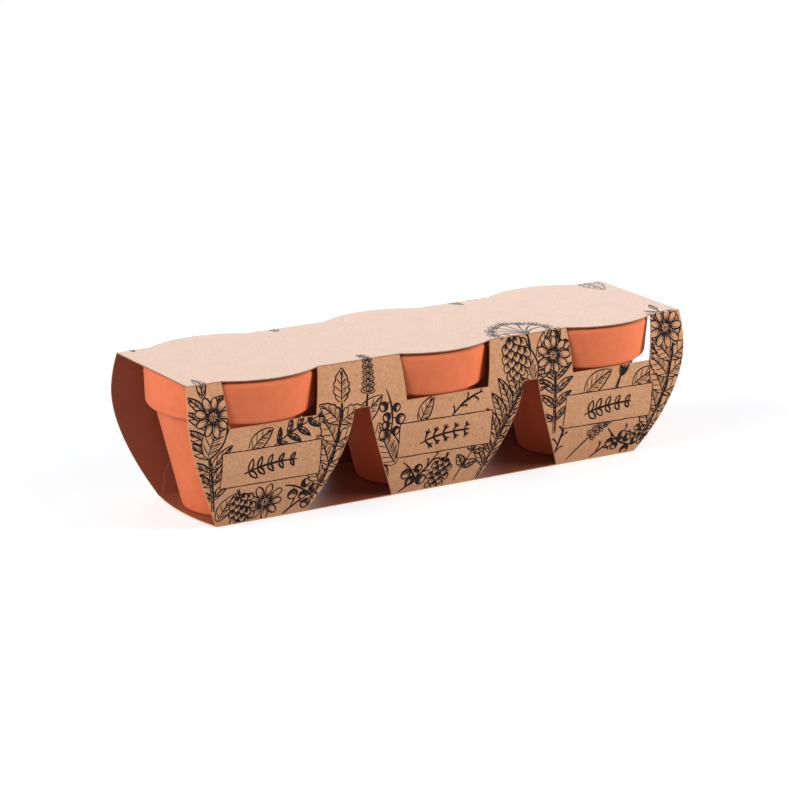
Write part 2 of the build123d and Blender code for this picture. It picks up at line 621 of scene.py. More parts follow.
def normals(path: np.ndarray) -> np.ndarray:
    """Unit vectors to the left of a path at each of its points."""
    along = np.gradient(path, axis=0)
    along /= np.maximum(np.linalg.norm(along, axis=1), TINY)[:, None]
    return np.column_stack((-along[:, 1], along[:, 0]))


def heading(path: np.ndarray, index: int) -> float:
    """The direction of a path at one of its points, in degrees."""
    across = path[min(index + 1, len(path) - 1)] - path[max(index - 1, 0)]
    return math.degrees(math.atan2(across[1], across[0]))


def inside(points: np.ndarray, outline: np.ndarray) -> np.ndarray:
    """Which points lie inside a closed outline, by the even-odd rule.

    Args:
        points: One point a row.
        outline: The outline's corners, one a row.

    Returns:
        One truth value a point.
    """
    x, y = points[:, 0:1], points[:, 1:2]
    x0, y0 = outline[:, 0], outline[:, 1]
    x1, y1 = np.roll(x0, -1), np.roll(y0, -1)
    spans = (y0 > y) != (y1 > y)
    rise = np.where(np.abs(y1 - y0) < TINY, TINY, y1 - y0)
    crossing = x0 + (y - y0) * (x1 - x0) / rise
    return (spans & (x < crossing)).sum(axis=1) % 2 == 1


def runs(shown: Iterable[bool]) -> list[tuple[int, int]]:
    """The unbroken runs of true values.

    Args:
        shown: Truth values in order.

    Returns:
        The first index of each run and the index after its last.
    """
    found: list[tuple[int, int]] = []
    start: int | None = None
    for i, value in enumerate([*shown, False]):
        if value and start is None:
            start = i
        elif not value and start is not None:
            found.append((start, i))
            start = None
    return found


class LeafEdge(Enum):
    """How a leaf is cut, with its sprig's habit.

    The habit is the spacing of the leaf pairs in millimetres, a leaf's share of the sprig's
    length, and its breadth as a share of its own length.
    """

    SMOOTH = (6.5, 0.3, 0.3)
    TOOTHED = (9.0, 0.36, 0.52)


class Nib(Enum):
    """The pens: width in millimetres, its share at a stroke's ends, and how far the hand strays."""

    LEAF_LIT = (0.55, 0.6, 0.05)
    LEAF_DARK = (0.7, 0.6, 0.05)
    RIB = (0.6, 0.3, 0.03)
    VEIN = (0.42, 0.2, 0.02)
    HATCH = (0.3, 0.2, 0.02)
    STALK = (1.0, 0.5, 0.09)
    STEM_LIT = (0.5, 0.7, 0.06)
    STEM_DARK = (0.75, 0.7, 0.06)
    STEM_TICK = (0.3, 0.4, 0.02)
    SPOKE = (0.55, 0.6, 0.05)
    SPOKE_EDGE = (0.35, 0.5, 0.05)
    TUFT_LIT = (0.42, 0.5, 0.03)
    TUFT_DARK = (0.5, 0.5, 0.03)
    BERRY = (0.6, 0.9, 0.04)
    BERRY_RIM = (0.62, 0.4, 0.03)
    BERRY_SHADE = (0.55, 0.4, 0.03)
    BERRY_CORE = (0.45, 0.4, 0.03)
    BERRY_STALK = (0.5, 0.35, 0.09)
    EYE = (0.6, 0.9, 0.05)
    DOT = (0.4, 0.9, 0.0)
    PETAL_LIT = (0.55, 0.6, 0.04)
    PETAL_DARK = (0.65, 0.6, 0.04)
    PETAL_LINE = (0.35, 0.3, 0.03)
    TWIG = (0.95, 0.45, 0.09)
    NEEDLE = (0.7, 0.3, 0.09)
    PRONG = (0.5, 0.3, 0.09)
    POD_LIT = (0.45, 0.6, 0.02)
    POD_DARK = (0.55, 0.6, 0.02)
    POD_RIDGE = (0.3, 0.4, 0.02)
    SCALE_SIDE = (0.6, 0.7, 0.03)
    SCALE_LINE = (0.5, 0.3, 0.02)
    FRAME = (0.45, 0.85, 0.05)
    BOLD_STEM = (0.95, 0.5, 0.1)
    BOLD_NEEDLE = (0.9, 0.4, 0.09)
    BOLD_PRONG = (0.7, 0.5, 0.09)
    BOLD_LEAF = (0.8, 0.6, 0.06)


class Motif(Enum):
    """The plants and parts of plants that the print is made of."""

    LEAFY_SPRIG = "leafy_sprig"
    TOOTHED_SPRIG = "toothed_sprig"
    UMBEL = "umbel"
    BERRY_SPRAY = "berry_spray"
    DAISY = "daisy"
    NEEDLE_TWIG = "needle_twig"
    SEED_SPIKE = "seed_spike"
    BUD = "bud"
    BROAD_LEAF = "broad_leaf"
    CONE = "cone"


@dataclass(frozen=True)
class Placement:
    """Where one motif stands: its foot and length in millimetres, its direction in degrees."""

    motif: Motif
    x: float
    height: float
    direction: float
    length: float
    bend: float = 0.15


@dataclass
class Stroke:
    """One visible pen stroke: its centre line and its width at each point, in millimetres."""

    points: np.ndarray
    widths: np.ndarray


class Drawing:
    """Botanical line art on one flat panel, drawn from the nearest motif to the furthest.

    Each motif's outline hides what is drawn after it, as it would on paper. The angles are in
    degrees and the lengths in millimetres or shares of a motif's own size.
    """

    WAVE_RANGE = (1.2, 3.4)
    WAVE_TURN = 6.28
    PRESSURE = 0.12
    PRESSURE_WAVE = 2.3
    TOOTH_SPACING = 2.6
    VEIN_SPACING = 3.2
    THIN_STEM = 0.9
    UMBEL_SPOKES = 7
    BERRY_SPACING = 3.1
    DOT_RADIUS = 0.22
    DOT_TURN = 348.387
    PETALS = 9
    NEEDLE_SPACING = 3.4
    WHORL_SPACING = 4.2
    CONE_ROW_SPACING = 2.4
    BOLD_LEAF_PAIRS = 5

    def __init__(self, seed: int) -> None:
        """Start an empty sheet with its own repeatable hand."""
        self.strokes: list[Stroke] = []
        self.fills: list[tuple[np.ndarray, np.ndarray, np.ndarray]] = []
        self.dice = random.Random(seed)

    def pen(self, path: np.ndarray, nib: Nib, scale: float = 1.0) -> None:
        """Draw one stroke where nothing nearer hides it.

        Args:
            path: Its centre line, one point a row.
            nib: The pen.
            scale: How many times as wide as that pen.
        """
        count = len(path)
        if count < 3:
            return
        width, taper, wobble = nib.value
        share = np.linspace(0, 1, count)
        reach = np.linalg.norm(np.diff(path, axis=0), axis=1).sum()
        stray = sum(
            math.sin(self.dice.uniform(0, self.WAVE_TURN))
            * np.sin(share * reach / self.dice.uniform(*self.WAVE_RANGE) + phase)
            for phase in (0.0, 2.1)
        )
        path = path + normals(path) * (stray * wobble)[:, None]
        swell = taper + (1 - taper) * np.sin(math.pi * np.clip(share, 0, 1)) ** 0.5
        press = np.sin(share * reach / self.PRESSURE_WAVE + self.dice.uniform(0, self.WAVE_TURN))
        widths = INK_SPREAD * width * scale * swell * (1 + self.PRESSURE * press)
        shown = np.ones(count, bool)
        for low, high, outline in self.fills:
            near = shown & (path >= low).all(axis=1) & (path <= high).all(axis=1)
            if near.any():
                shown[near] &= ~inside(path[near], outline)
        for first, last in runs(shown):
            if last - first >= 3:
                self.strokes.append(Stroke(path[first:last], widths[first:last]))

    def cover(self, outline: np.ndarray) -> None:
        """Hide what is drawn from now on inside a closed outline."""
        self.fills.append((outline.min(axis=0), outline.max(axis=0), outline))

    def leaf(
        self,
        base: Sequence[float],
        direction: float,
        length: float,
        breadth: float,
        bend: float = 0.12,
        edge: LeafEdge = LeafEdge.SMOOTH,
    ) -> None:
        """Draw a leaf with a midrib, side veins and hatching on its darker half.

        Args:
            base: The foot of its midrib.
            direction: Where its tip points, in degrees.
            length: From foot to tip.
            breadth: Across its widest part.
            bend: How far the midrib bows, as a share of the length.
            edge: Whether its outline is smooth or toothed.
        """
        rib = bezier(bowed(base, direction, length, bend), 0.4)
        share = np.linspace(0, 1, len(rib))
        half = breadth / 2 * np.sin(math.pi * share**0.8) ** 0.85
        if edge is LeafEdge.TOOTHED:
            teeth = max(5, int(length / self.TOOTH_SPACING))
            half = half * (0.9 + 0.26 * ((share * teeth) % 1.0))
        across = normals(rib) * half[:, None]
        lit, dark = rib + across, rib - across
        self.pen(lit, Nib.LEAF_LIT)
        self.pen(dark, Nib.LEAF_DARK)
        self.pen(rib[: int(len(rib) * 0.94)], Nib.RIB)
        veins = max(3, int(length / self.VEIN_SPACING))
        for side in (lit, dark):
            for i in range(veins):
                start = (i + 0.6) / (veins + 1.0)
                self._vein(rib, side, (start, start + 0.2), 0.86, Nib.VEIN)
                if side is dark:
                    for shift in (0.3, 0.62):
                        between = start + shift / veins
                        self._vein(rib, side, (between, between + 0.16), 0.7, Nib.HATCH)
        self.cover(np.vstack((lit, dark[::-1])))

    def _vein(
        self, rib: np.ndarray, edge: np.ndarray, span: tuple[float, float], reach: float, nib: Nib
    ) -> None:
        """Draw a side vein from the midrib towards the edge.

        Args:
            rib: The midrib.
            edge: The leaf's edge.
            span: Where it starts on the rib and where it points on the edge, as shares of both.
            reach: How far it comes towards the edge, as a share.
            nib: The pen.
        """
        first, towards = (
            line[min(int(share * len(line)), len(line) - 1)]
            for line, share in zip((rib, edge), span)
        )
        last = first + (towards - first) * reach
        control = first + (last - first) * 0.55 + (rib[-1] - rib[0]) * -0.02
        self.pen(bezier([first, control, last], 0.4), nib)

    def stem(self, path: np.ndarray, thickness: float) -> None:
        """Draw a stem as two lines with short ticks between them, or as one line if it is thin.

        Args:
            path: Its centre line.
            thickness: The distance between its two lines.
        """
        if thickness < self.THIN_STEM:
            self.pen(path, Nib.STALK, thickness)
            return
        across = normals(path) * np.linspace(1.0, 0.55, len(path))[:, None] * thickness / 2
        lit, dark = path + across, path - across
        self.pen(lit, Nib.STEM_LIT)
        self.pen(dark, Nib.STEM_DARK)
        for i in range(4, len(path) - 3, 5):
            tick = bezier([dark[i - 2], path[i], path[min(i + 3, len(path) - 1)]], 0.3)
            self.pen(tick, Nib.STEM_TICK)
        self.cover(np.vstack((lit, dark[::-1])))

    def _spine(self, placement: Placement) -> np.ndarray:
        """The centre line of a motif: a bow from its foot in its direction."""
        foot = (placement.x, placement.height)
        return bezier(bowed(foot, placement.direction, placement.length, placement.bend))

    def _blade(
        self,
        sides: Sequence[Sequence[Sequence[float]]],
        side_nibs: tuple[Nib, Nib],
        lines: Sequence[Sequence[Sequence[float]]],
        line_nib: Nib,
        steps: tuple[float, float] = (0.35, 0.3),
    ) -> None:
        """Draw a petal, pod or scale: its two sides, the lines on it, and what it hides.

        Args:
            sides: The control points of each side, from foot to tip.
            side_nibs: The pen of each side.
            lines: The control points of each line.
            line_nib: The pen of the lines.
            steps: How far apart the samples of the sides and of the lines are.
        """
        side_step, line_step = steps
        left, right = (bezier(controls, side_step) for controls in sides)
        for path, nib in zip((left, right), side_nibs):
            self.pen(path, nib)
        for controls in lines:
            self.pen(bezier(controls, line_step), line_nib)
        self.cover(np.vstack((left, right[::-1])))

    def sprig(self, placement: Placement, edge: LeafEdge) -> None:
        """Draw a stem with pairs of leaves and one at its tip.

        Args:
            placement: Where it stands.
            edge: How its leaves are cut.
        """
        spacing, share, slender = edge.value
        path = self._spine(placement)
        pairs = max(2, int(placement.length / spacing))
        size = placement.length * share
        self.stem(path, 1.1 if placement.length > 32 else 0.7)
        tip, out, grown = path[-1], heading(path, len(path) - 1), size * 0.9
        self.leaf(tip, out, grown, grown * slender, 0.05, edge)
        for i in range(pairs, 0, -1):
            index = int(len(path) * i / (pairs + 1))
            grown = size * (0.65 + 0.35 * math.sin(math.pi * i / (pairs + 1)))
            for side in (1, -1):
                out = heading(path, index) + side * (52 + self.dice.uniform(-8, 8))
                self.leaf(path[index], out, grown, grown * slender, -0.12 * side, edge)

    def umbel(self, placement: Placement) -> None:
        """Draw a fennel head: spokes that fan from a stem's top, each with a tuft of petals."""
        path = self._spine(placement)
        cut = int(len(path) * 0.62)
        top, leaning = path[cut - 1], heading(path, cut - 1)
        radius = placement.length * 0.4
        for i in range(self.UMBEL_SPOKES):
            spread = (i / (self.UMBEL_SPOKES - 1) - 0.5) * 2
            reach = radius * (1.0 - 0.12 * abs(spread) + self.dice.uniform(-0.05, 0.05))
            tip = polar(top, leaning - spread * 66, reach)
            spoke = bezier([top, polar(top, leaning - spread * 36, radius * 0.55), tip])
            self._tuft(tip, heading(spoke, len(spoke) - 1), radius * 0.3)
            self.pen(spoke, Nib.SPOKE)
            self.pen(spoke + normals(spoke) * 0.42, Nib.SPOKE_EDGE)
        self.stem(path[:cut], 1.3)

    def _tuft(self, base: Point, direction: float, size: float) -> None:
        """Draw a small fan of looped petals."""
        for count, reach, fan in ((5, 1.0, 150), (4, 0.62, 110)):
            for i in range(count):
                out = direction + (i / (count - 1) - 0.5) * fan
                tip = polar(base, out, size * reach)
                for turn, nib in ((130, Nib.TUFT_LIT), (-130, Nib.TUFT_DARK)):
                    self.pen(bezier([base, polar(tip, out + turn, size * 0.42), tip], 0.35), nib)

    def berry_spray(self, placement: Placement) -> None:
        """Draw a drooping spray of dark berries on short stalks."""
        path = self._spine(placement)
        count = max(4, int(placement.length / self.BERRY_SPACING))
        self.stem(path, 0.8)
        for i in range(count):
            index = int(len(path) * (0.25 + 0.75 * i / count))
            side = 1 if i % 2 else -1
            out = heading(path, index) + side * self.dice.uniform(48, 80)
            radius = self.dice.uniform(1.7, 2.3)
            centre = polar(path[index], out, radius + self.dice.uniform(0.8, 2.0))
            self._berry(centre, radius, out)
            stalk = bezier([path[index], polar(path[index], out, 1.2), centre], 0.3)
            self.pen(stalk, Nib.BERRY_STALK)

    def _berry(self, centre: Point, radius: float, direction: float) -> None:
        """Draw one berry: a round outline, and arcs that darken one side."""
        ring = arc(centre, radius, 0, 360, 28)
        self.pen(ring, Nib.BERRY)
        for share, nib in ((0.78, Nib.BERRY_RIM), (0.5, Nib.BERRY_SHADE), (0.24, Nib.BERRY_CORE)):
            self.pen(arc(centre, radius * share, direction + 60, direction + 290, 18), nib)
        self.cover(ring)

    def daisy(self, centre: Point, radius: float) -> None:
        """Draw an open flower with a dotted eye and veined petals.

        Args:
            centre: The middle of its eye.
            radius: From there to a petal's tip.
        """
        eye = radius * 0.24
        ring = arc(centre, eye, 0, 360, 32)
        self.pen(ring, Nib.EYE)
        for share, dots in ((0.6, 7), (0.2, 3)):
            for i in range(dots):
                spot = polar(centre, 360 * i / dots + 20 * share, eye * share)
                self.pen(arc(spot, self.DOT_RADIUS, 0, self.DOT_TURN, 6), Nib.DOT)
        self.cover(ring)
        for i in range(self.PETALS):
            out = 360 * (i * 4 % self.PETALS) / self.PETALS + self.dice.uniform(-5, 5)
            self._petal(centre, out, eye, radius * self.dice.uniform(0.92, 1.05))

    def _petal(self, centre: Point, direction: float, low: float, high: float) -> None:
        """Draw one petal.

        Args:
            centre: The middle of the flower.
            direction: Where its tip points, in degrees.
            low: The radius of the eye.
            high: The radius of its tip.
        """
        foot, tip = polar(centre, direction, low * 0.9), polar(centre, direction, high)
        middle, half = polar(centre, direction, high * 0.6), high * 0.3
        sides, lines = [], []
        for turn in (1, -1):
            belly = polar(middle, direction + 90 * turn, half)
            shoulder = polar(tip, direction + 100 * turn, half * 0.62)
            sides.append([foot, belly, shoulder, tip])
        for turn, reach in ((7, 0.62), (-7, 0.7), (0, 0.5)):
            bent, end = (polar(centre, direction + turn, high * reach * k) for k in (0.6, 1.0))
            lines.append([polar(centre, direction + turn * 0.6, low * 1.05), bent, end])
        self._blade(sides, (Nib.PETAL_LIT, Nib.PETAL_DARK), lines, Nib.PETAL_LINE, (0.4, 0.4))

    def needle_twig(self, placement: Placement) -> None:
        """Draw a bare twig with short forked needles on alternate sides."""
        path = self._spine(placement)
        self.pen(path, Nib.TWIG)
        count = max(4, int(placement.length / self.NEEDLE_SPACING))
        for i in range(1, count + 1):
            index = int((len(path) - 1) * i / (count + 0.4))
            side = 1 if i % 2 else -1
            out = heading(path, index) + side * self.dice.uniform(32, 52)
            length = self.dice.uniform(3.6, 6.4)
            bent = polar(path[index], out - side * 10, length * 0.6)
            self.pen(bezier([path[index], bent, polar(path[index], out, length)]), Nib.NEEDLE)
            end = polar(bent, out + side * 34, length * 0.5)
            self.pen(bezier([bent, polar(bent, out + side * 30, 1.2), end], 0.3), Nib.PRONG)

    def seed_spike(self, placement: Placement) -> None:
        """Draw a lavender-like spike: a thin stem whose upper half carries whorls of small pods."""
        path = self._spine(placement)
        whorls = max(5, int(placement.length / self.WHORL_SPACING))
        for i in range(whorls, 0, -1):
            index = int((len(path) - 1) * (0.42 + 0.58 * i / whorls))
            for turn in (0, 38, -38, 74, -74):
                self._pod(path[index], heading(path, index) + turn, 3.4 * (1.15 - 0.5 * i / whorls))
        self.pen(path, Nib.STALK, 0.8)

    def _pod(self, base: Sequence[float], direction: float, size: float) -> None:
        """Draw one seed pod with a line along it."""
        tip = polar(base, direction, size)
        sides = [[base, polar(base, direction + turn, size * 0.8), tip] for turn in (42, -42)]
        ridge = [base, polar(base, direction, size * 0.4), polar(base, direction, size * 0.75)]
        self._blade(sides, (Nib.POD_LIT, Nib.POD_DARK), [ridge], Nib.POD_RIDGE)

    def bud(self, placement: Placement) -> None:
        """Draw a closed bud on its stalk, with long lines down its petals and two sepals."""
        path = self._spine(placement)
        cut = int(len(path) * 0.5)
        base, out = path[cut], heading(path, cut)
        size = placement.length * 0.5
        for turn, length, breadth, bend in (
            (26, 0.55, 0.2, -0.1),
            (-26, 0.55, 0.2, 0.1),
            (0, 1.0, 0.5, 0.0),
            (14, 0.95, 0.42, -0.16),
            (-14, 0.95, 0.42, 0.16),
        ):
            self.leaf(base, out + turn, size * length, size * breadth, bend)
        self.stem(path[: cut + 1], 0.9)

    def cone(self, placement: Placement) -> None:
        """Draw a hanging cone of scales that overlap like tiles, each dark at its foot."""
        path = self._spine(placement)
        size = placement.length
        rows = max(4, int(size / self.CONE_ROW_SPACING))
        stalk = int(len(path) * 0.18)
        for i in range(rows):
            share = i / rows
            index = stalk + int((len(path) - 1 - stalk) * share)
            spread = size * 0.2 * math.sin(math.pi * (0.2 + 0.72 * share))
            for across in (0.0, 1.0, -1.0) if i % 2 else (0.5, -0.5):
                foot = polar(path[index], heading(path, index) + 90, across * spread)
                self._scale(foot, heading(path, index) + across * 34, size * 0.27)
        self.stem(path[: stalk + 2], 0.9)

    def _scale(self, base: Point, direction: float, size: float) -> None:
        """Draw one pointed scale with short lines up from its foot."""
        tip = polar(base, direction, size)
        sides = [[base, polar(base, direction + turn, size * 0.85), tip] for turn in (52, -52)]
        lines = [
            [base, *(polar(base, direction + turn, size * reach * k) for k in (0.5, 1.0))]
            for turn, reach in ((-24, 0.5), (-8, 0.66), (8, 0.6), (24, 0.45))
        ]
        self._blade(sides, (Nib.SCALE_SIDE, Nib.SCALE_SIDE), lines, Nib.SCALE_LINE)

    def label(self, x: float, motif: Motif) -> None:
        """Draw a hand-ruled frame, a little askew, round a bold sprig.

        Args:
            x: Its middle.
            motif: The leaf that the sprig has.
        """
        half, tilt = LABEL_HALF_WIDTH, self.dice.uniform(0.15, 0.35)
        corners = [
            (x - half, LABEL_LOW + tilt),
            (x - half, LABEL_HIGH + tilt),
            (x + half - 2 * tilt, LABEL_HIGH - tilt),
            (x + half, LABEL_LOW - tilt),
        ]
        for corner, other in zip(corners, corners[1:] + corners[:1]):
            middle = ((corner[0] + other[0]) / 2, (corner[1] + other[1]) / 2)
            self.pen(bezier([corner, middle, other], 0.8), Nib.FRAME)
        self._bold_sprig(x, (LABEL_LOW + LABEL_HIGH) / 2, motif)
        self.cover(np.array(corners))

    def _bold_sprig(self, x: float, height: float, motif: Motif) -> None:
        """Draw a plain sprig in broad strokes, long enough to fill the middle of a frame."""
        path = bezier([(x - 13, height - 2.5), (x - 3, height + 1.5), (x + 12, height + 0.5)])
        self.pen(path, Nib.BOLD_STEM)
        for i in range(self.BOLD_LEAF_PAIRS):
            index = int((len(path) - 1) * (0.12 + 0.78 * i / (self.BOLD_LEAF_PAIRS - 1)))
            foot, size = path[index], 5.6 - 0.5 * i
            for side in (1, -1):
                out = heading(path, index) + side * 58
                tip = polar(foot, out, size)
                if motif is Motif.NEEDLE_TWIG:
                    fork = polar(foot, out, size * 0.5)
                    self.pen(bezier([foot, fork, tip], 0.4), Nib.BOLD_NEEDLE)
                    for turn in (38, -38):
                        prong = [fork, polar(fork, out + turn, 1.0), polar(fork, out + turn, 2.2)]
                        self.pen(bezier(prong, 0.3), Nib.BOLD_PRONG)
                    continue
                swell = size * (0.62 if motif is Motif.BROAD_LEAF else 0.5)
                for turn in (48, -48):
                    side_line = bezier([foot, polar(foot, out + turn, swell), tip], 0.4)
                    self.pen(side_line, Nib.BOLD_LEAF)

    def place(self, placement: Placement) -> None:
        """Draw one motif where its placement says."""
        spot, size = (placement.x, placement.height), placement.length
        artists: dict[Motif, Callable[[], None]] = {
            Motif.LEAFY_SPRIG: lambda: self.sprig(placement, LeafEdge.SMOOTH),
            Motif.TOOTHED_SPRIG: lambda: self.sprig(placement, LeafEdge.TOOTHED),
            Motif.UMBEL: lambda: self.umbel(placement),
            Motif.BERRY_SPRAY: lambda: self.berry_spray(placement),
            Motif.DAISY: lambda: self.daisy(spot, size),
            Motif.NEEDLE_TWIG: lambda: self.needle_twig(placement),
            Motif.SEED_SPIKE: lambda: self.seed_spike(placement),
            Motif.BUD: lambda: self.bud(placement),
            Motif.CONE: lambda: self.cone(placement),
            Motif.BROAD_LEAF: lambda: self.leaf(
                spot, placement.direction, size, size * 0.5, placement.bend
            ),
        }
        artists[placement.motif]()


class PanelSide(Enum):
    """Which side of the sleeve a print is on. Its value is the sign of Y there."""

    FRONT = -1
    BACK = 1


class CardSurface:
    """The outer skin of one side of the sleeve, from the floor over the top crease.

    A place on it is X and a height, in millimetres. Past the crease, the height runs on over
    the top.
    """

    RAY_START = 100.0
    OUTER_LAYER = 20.0
    PILLAR_DROP = 1.0
    CREASE_MARGIN = 0.25
    CARD_MARGIN = 0.7
    SEARCH_STEPS = 5

    def __init__(self, side: PanelSide, panel: bpy.types.Object, top: bpy.types.Object) -> None:
        """Take the skin from the CAD panels.

        Args:
            side: The side of the sleeve.
            panel: The side panel's node.
            top: The top panel's node.
        """
        self.side = side.value
        vertices: list[Vector] = []
        faces: list[list[int]] = []
        for node in (panel, top):
            start = len(vertices)
            vertices.extend(v.co.copy() for v in node.data.vertices)
            faces.extend([start + i for i in p.vertices] for p in node.data.polygons)
        self.tree = BVHTree.FromPolygons(vertices, faces)
        self.crease_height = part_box(top.name)[1].z / MM
        pillar = self._from_side(WINDOW_PITCH / 2, self.crease_height - self.PILLAR_DROP)
        self.crease_depth = abs(pillar[0].y) / MM if pillar else 0.0

    def _from_side(self, x: float, height: float) -> Touch | None:
        """Where a level line from outside meets the side panel."""
        start = Vector((x * MM, self.side * self.RAY_START * MM, height * MM))
        place, normal, _, _ = self.tree.ray_cast(start, Vector((0, -self.side, 0)))
        if place is None or place.y * self.side < self.OUTER_LAYER * MM:
            return None
        return place, normal

    def find(self, x: float, height: float) -> Touch | None:
        """Find a place on the card.

        Args:
            x: Along the sleeve.
            height: Above the floor, or on over the crease.

        Returns:
            The place and the card's outward normal, or None off the card.
        """
        past = height - self.crease_height
        if past < -self.CREASE_MARGIN:
            return self._from_side(x, height)
        inward = self.crease_depth - max(past, 0.0) - self.CREASE_MARGIN
        start = Vector((x * MM, self.side * inward * MM, self.RAY_START * MM))
        place, normal, _, _ = self.tree.ray_cast(start, Vector((0, 0, -1)))
        if place is None or place.z < (self.crease_height - self.CARD_MARGIN) * MM:
            return None
        return place, normal

    def reach(self, start: Point, end: Point) -> Touch | None:
        """Find the furthest place that is still on the card, from one point towards another.

        Args:
            start: X and height of the first point.
            end: X and height of the other.

        Returns:
            The place and the card's outward normal, or None off the card.
        """
        best = self.find(*end)
        if best is not None:
            return best
        best, low, high = self.find(*start), 0.0, 1.0
        for _ in range(self.SEARCH_STEPS):
            half = (low + high) / 2
            x, height = (a + (b - a) * half for a, b in zip(start, end))
            found = self.find(x, height)
            if found is None:
                high = half
            else:
                low, best = half, found
        return best


@dataclass
class CardPrint:
    """The ink on one side of the sleeve, as thin strips that lie on the card.

    Strokes that cross lie at slightly different heights, in as many layers as it says.
    """

    name: str
    side: PanelSide
    seed: int
    placements: Sequence[Placement]
    labels: Sequence[tuple[float, Motif]] = ()
    film: float = 0.02
    layers: int = 16
    layers_rise: float = 0.015
    strips: int = field(default=0, init=False)

    def draw(self) -> Drawing:
        """Draw the labels first and then the plants behind them."""
        sheet = Drawing(self.seed)
        for x, motif in self.labels:
            sheet.label(x, motif)
        for placement in self.placements:
            sheet.place(placement)
        return sheet

    def build(self, surface: CardSurface, material: bpy.types.Material) -> bpy.types.Object:
        """Lay the drawing on the card.

        Args:
            surface: The card's skin.
            material: The ink.

        Returns:
            The print.
        """
        vertices: list[Vector] = []
        faces: list[tuple[int, int, int, int]] = []
        turned = -1 if self.side is PanelSide.BACK else 1
        for number, stroke in enumerate(self.draw().strokes):
            lift = (self.film + self.layers_rise * (number % self.layers) / self.layers) * MM
            across = normals(stroke.points)
            pairs = [
                self._pair(surface, point, offset * width / 2, turned)
                for point, offset, width in zip(stroke.points, across, stroke.widths)
            ]
            for first, last in runs(pair is not None for pair in pairs):
                if last - first < 2:
                    continue
                start = len(vertices)
                for pair in pairs[first:last]:
                    vertices.extend(place + normal * lift for place, normal in pair)
                for a in range(start, len(vertices) - 2, 2):
                    faces.append((a, a + 2, a + 3, a + 1))
                self.strips += 1
        return make_object(self.name, vertices, faces, material)

    def _pair(
        self, surface: CardSurface, point: np.ndarray, offset: np.ndarray, turned: int
    ) -> tuple[Touch, Touch] | None:
        """Find the two edges of a strip at one point of its stroke.

        Args:
            surface: The card's skin.
            point: The point of the stroke.
            offset: From there to the strip's edge.
            turned: Minus one for a drawing that is seen from the back, or else one.

        Returns:
            The two edges, or None where the strip's middle is off the card.
        """
        x, height = float(point[0]) * turned, float(point[1])
        if surface.find(x, height) is None:
            return None
        dx, dh = float(offset[0]) * turned, float(offset[1])
        ends = [surface.reach((x, height), (x + sign * dx, height + sign * dh)) for sign in (1, -1)]
        return None if None in ends else (ends[0], ends[1])


# Pieces


@dataclass
class PlantPot:
    """One terracotta pot: tapered body, a deep rim that steps out, a bore and a drain hole."""

    number: int
    rim_taper: float = 1.0
    rim_height: float = 17.6
    rim_step: float = 3.6
    rim_wall: float = 4.4
    foot_radius: float = 19.2
    foot_wall: float = 2.9
    floor: float = 5.0
    drain_radius: float = 5.0

    @property
    def node(self) -> str:
        """The CAD node that this pot stands for."""
        return f"pot_{self.number}"

    def outline(self, radius: float, height: float) -> list[Point]:
        """Draw the turned outline with its rolled lip and softened edges.

        Args:
            radius: The rim's greatest radius, in millimetres.
            height: The pot's height.

        Returns:
            Radius and height of each point.
        """
        rim_foot = radius - self.rim_taper
        shoulder = height - self.rim_height
        corners = [
            (self.drain_radius, 0.0, 0.6),
            (self.foot_radius, 0.0, 1.5),
            (rim_foot - self.rim_step, shoulder, 2.2),
            (rim_foot, shoulder, 2.1),
            (radius, height, 1.9),
            (radius - self.rim_wall, height, 1.5),
            (self.foot_radius - self.foot_wall, self.floor, 2.0),
            (self.drain_radius, self.floor, 0.8),
        ]
        return rounded_profile(corners)

    def build(self, material: bpy.types.Material) -> bpy.types.Object:
        """Turn the pot where its node stands.

        Args:
            material: The fired clay.

        Returns:
            The pot, riding on its body.
        """
        foot, radius, height = stand_of(self.node)
        outline = self.outline(radius, height)
        piece = lathe(f"terracotta_pot_{self.number}", outline, foot, material)
        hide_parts(self.node)
        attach(piece, self.node)
        return piece


@dataclass
class CoirDisc:
    """A pressed disc of coir with a soft edge and a slightly wavy top, on a pot's floor."""

    number: int
    foot_round: float = 1.0
    edge_round: float = 1.8
    edge_drop: float = 0.2
    edge_flat: float = 0.4
    waves: float = 0.35
    wave_points: int = 12
    bore_slope: float = 0.266
    inmost: float = 0.3
    segments: int = 96

    def build(self, material: bpy.types.Material) -> bpy.types.Object:
        """Press the disc where its node lies.

        Args:
            material: The coir.

        Returns:
            The disc, riding with its pot.
        """
        node = f"coir_disc_{self.number}"
        centre, radius, height = stand_of(node)
        outmost = radius - self.edge_round - self.edge_flat
        radii = np.linspace(self.inmost, outmost, self.wave_points)
        corners = [
            (self.inmost, 0.0, 0.0),
            (radius - self.bore_slope * height, 0.0, self.foot_round),
            (radius, height - self.edge_drop, self.edge_round),
            *((r, height - self.waves * (1 - math.cos(r)), 0.0) for r in radii[::-1]),
        ]
        outline = rounded_profile(corners)
        piece = lathe(f"pressed_coir_{self.number}", outline, centre, material, self.segments)
        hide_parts(node)
        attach(piece, f"pot_{self.number}")
        return piece


